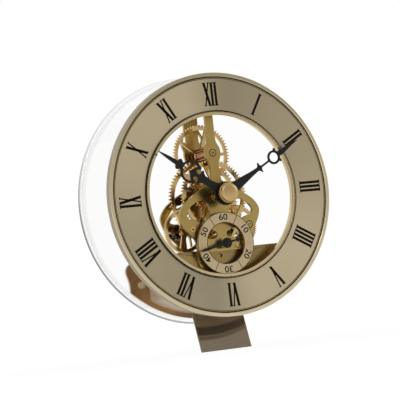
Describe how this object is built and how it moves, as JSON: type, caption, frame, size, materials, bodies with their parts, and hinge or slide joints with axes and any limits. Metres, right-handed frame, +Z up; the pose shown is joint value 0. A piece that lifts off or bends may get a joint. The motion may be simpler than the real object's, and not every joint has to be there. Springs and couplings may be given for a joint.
{
  "type": "skeleton clock movement",
  "caption": "Round see-through clock movement on a sheet tongue: pierced plates, geared brass wheels, open dial ring, seconds dial, hands and motor base.",
  "frame": {"origin": "middle of the cut end face of the tongue, which is the part's lowest face", "axes": "+Z up in the plane of the dial, -Y the way the dial faces, +X to the right seen from the front"},
  "size_m": [0.1554, 0.0593, 0.1727],
  "materials": {
    "bezel_gold": "polished turned bezel, pale gold",
    "dial_pewter": "champagne, circular brushed, printed",
    "trim_gold": "fine knurled, pale gold",
    "clear_plastic": "clear acrylic",
    "base_gold": "polished, dark gold",
    "plate_gold": "satin gold",
    "wheel_gold": "polished brass",
    "steel": "turned",
    "black_metal": "satin black",
    "tongue_mirror": "dark mirror",
    "dark_screw": "dark browned",
    "pinion_copper": "reddish polished",
    "cap_brass": "turned and knurled",
    "knob_black": "moulded black",
    "board_green": "circuit board",
    "bobbin_white": "moulded",
    "coil_copper": "enamelled wire",
    "magnet_grey": "sintered",
    "battery_sleeve": "printed sleeve, plain black"
  },
  "bodies": {
    "case": {"bezel": "bezel_gold", "dial_ring": "dial_pewter", "inner_trim": "trim_gold", "drum": "clear_plastic", "rear_cover": "clear_plastic", "base_box": "base_gold", "base_face": "plate_gold", "ear_screws": "wheel_gold", "case_posts": "steel", "tongue": "tongue_mirror", "tongue_screws": "steel", "battery": "battery_sleeve", "battery_contacts": "steel", "front_plate": "plate_gold", "back_plate": "plate_gold", "plate_pillars": "wheel_gold", "pillar_screws": "steel", "top_post": "wheel_gold", "front_bushes": "wheel_gold", "back_bushes": "wheel_gold", "arm_screws": "dark_screw", "seconds_dial": "dial_pewter", "seconds_dial_feet": "wheel_gold", "module_posts": "steel", "module_plate": "wheel_gold", "module_screws": "steel", "stator": "steel", "stator_screws": "steel", "coil_bobbin": "bobbin_white", "coil_winding": "coil_copper", "circuit_board": "board_green", "crystal_can": "steel", "idler_stud": "steel"},
    "door": {"battery_door": "base_gold"},
    "rotor": {"rotor_magnet": "magnet_grey", "rotor_arbor": "steel"},
    "intermediate": {"intermediate_wheel": "wheel_gold"},
    "seconds": {"seconds_arbor": "steel", "seconds_wheel": "wheel_gold", "seconds_gear": "wheel_gold", "seconds_hand": "black_metal"},
    "idler": {"idler_wheel": "wheel_gold"},
    "transfer": {"transfer_arbor": "steel", "transfer_wheel": "wheel_gold"},
    "right": {"right_arbor": "steel", "right_wheel": "wheel_gold"},
    "left": {"left_arbor": "dark_screw", "left_wheel": "wheel_gold"},
    "centre": {"centre_arbor": "steel", "centre_wheel": "wheel_gold", "cannon_pinion": "wheel_gold", "minute_hand": "black_metal", "hand_cap": "cap_brass", "set_knob": "knob_black"},
    "minute_work": {"minute_arbor": "pinion_copper", "minute_wheel": "wheel_gold"},
    "hour": {"hour_wheel": "wheel_gold", "hour_pipe": "wheel_gold", "hour_hand": "black_metal"}
  },
  "joints": [
    {"name": "seconds_turn", "type": "hinge", "parent": "case", "child": "seconds", "pos_m": [0, 0.0017, 0.065], "axis": [0, 1, 0], "continuous": true},
    {"name": "centre_turn", "type": "hinge", "parent": "case", "child": "centre", "pos_m": [0, 0.0017, 0.095], "axis": [0, 1, 0], "continuous": true},
    {"name": "hour_turn", "type": "hinge", "parent": "case", "child": "hour", "pos_m": [0, 0.0017, 0.095], "axis": [0, 1, 0], "continuous": true},
    {"name": "minute_work_turn", "type": "hinge", "parent": "case", "child": "minute_work", "pos_m": [0, 0.0017, 0.1212], "axis": [0, 1, 0], "continuous": true},
    {"name": "right_turn", "type": "hinge", "parent": "case", "child": "right", "pos_m": [0.0195, 0.0017, 0.0753], "axis": [0, 1, 0], "continuous": true},
    {"name": "left_turn", "type": "hinge", "parent": "case", "child": "left", "pos_m": [-0.0195, 0.0017, 0.0753], "axis": [0, 1, 0], "continuous": true},
    {"name": "transfer_turn", "type": "hinge", "parent": "case", "child": "transfer", "pos_m": [0.01019, 0.0017, 0.0635], "axis": [0, 1, 0], "continuous": true},
    {"name": "idler_turn", "type": "hinge", "parent": "case", "child": "idler", "pos_m": [0.00436, 0.0017, 0.06955], "axis": [0, 1, 0], "continuous": true},
    {"name": "intermediate_turn", "type": "hinge", "parent": "case", "child": "intermediate", "pos_m": [-0.00174, 0.0017, 0.05801], "axis": [0, 1, 0], "continuous": true},
    {"name": "rotor_turn", "type": "hinge", "parent": "case", "child": "rotor", "pos_m": [0.00122, 0.0017, 0.05167], "axis": [0, 1, 0], "continuous": true},
    {"name": "door_slide", "type": "slide", "parent": "case", "child": "door", "axis": [0, 1, 0], "range_m": [0, 0.015]}
  ],
  "couplings": [
    {"joint": "hour_turn", "follows": "centre_turn", "ratio": 0.083333},
    {"joint": "minute_work_turn", "follows": "centre_turn", "ratio": -0.4},
    {"joint": "right_turn", "follows": "centre_turn", "ratio": -5},
    {"joint": "left_turn", "follows": "centre_turn", "ratio": -5},
    {"joint": "transfer_turn", "follows": "centre_turn", "ratio": 37.5},
    {"joint": "idler_turn", "follows": "centre_turn", "ratio": -75},
    {"joint": "intermediate_turn", "follows": "centre_turn", "ratio": -300},
    {"joint": "rotor_turn", "follows": "centre_turn", "ratio": 1800},
    {"joint": "seconds_turn", "follows": "centre_turn", "ratio": 60}
  ]
}
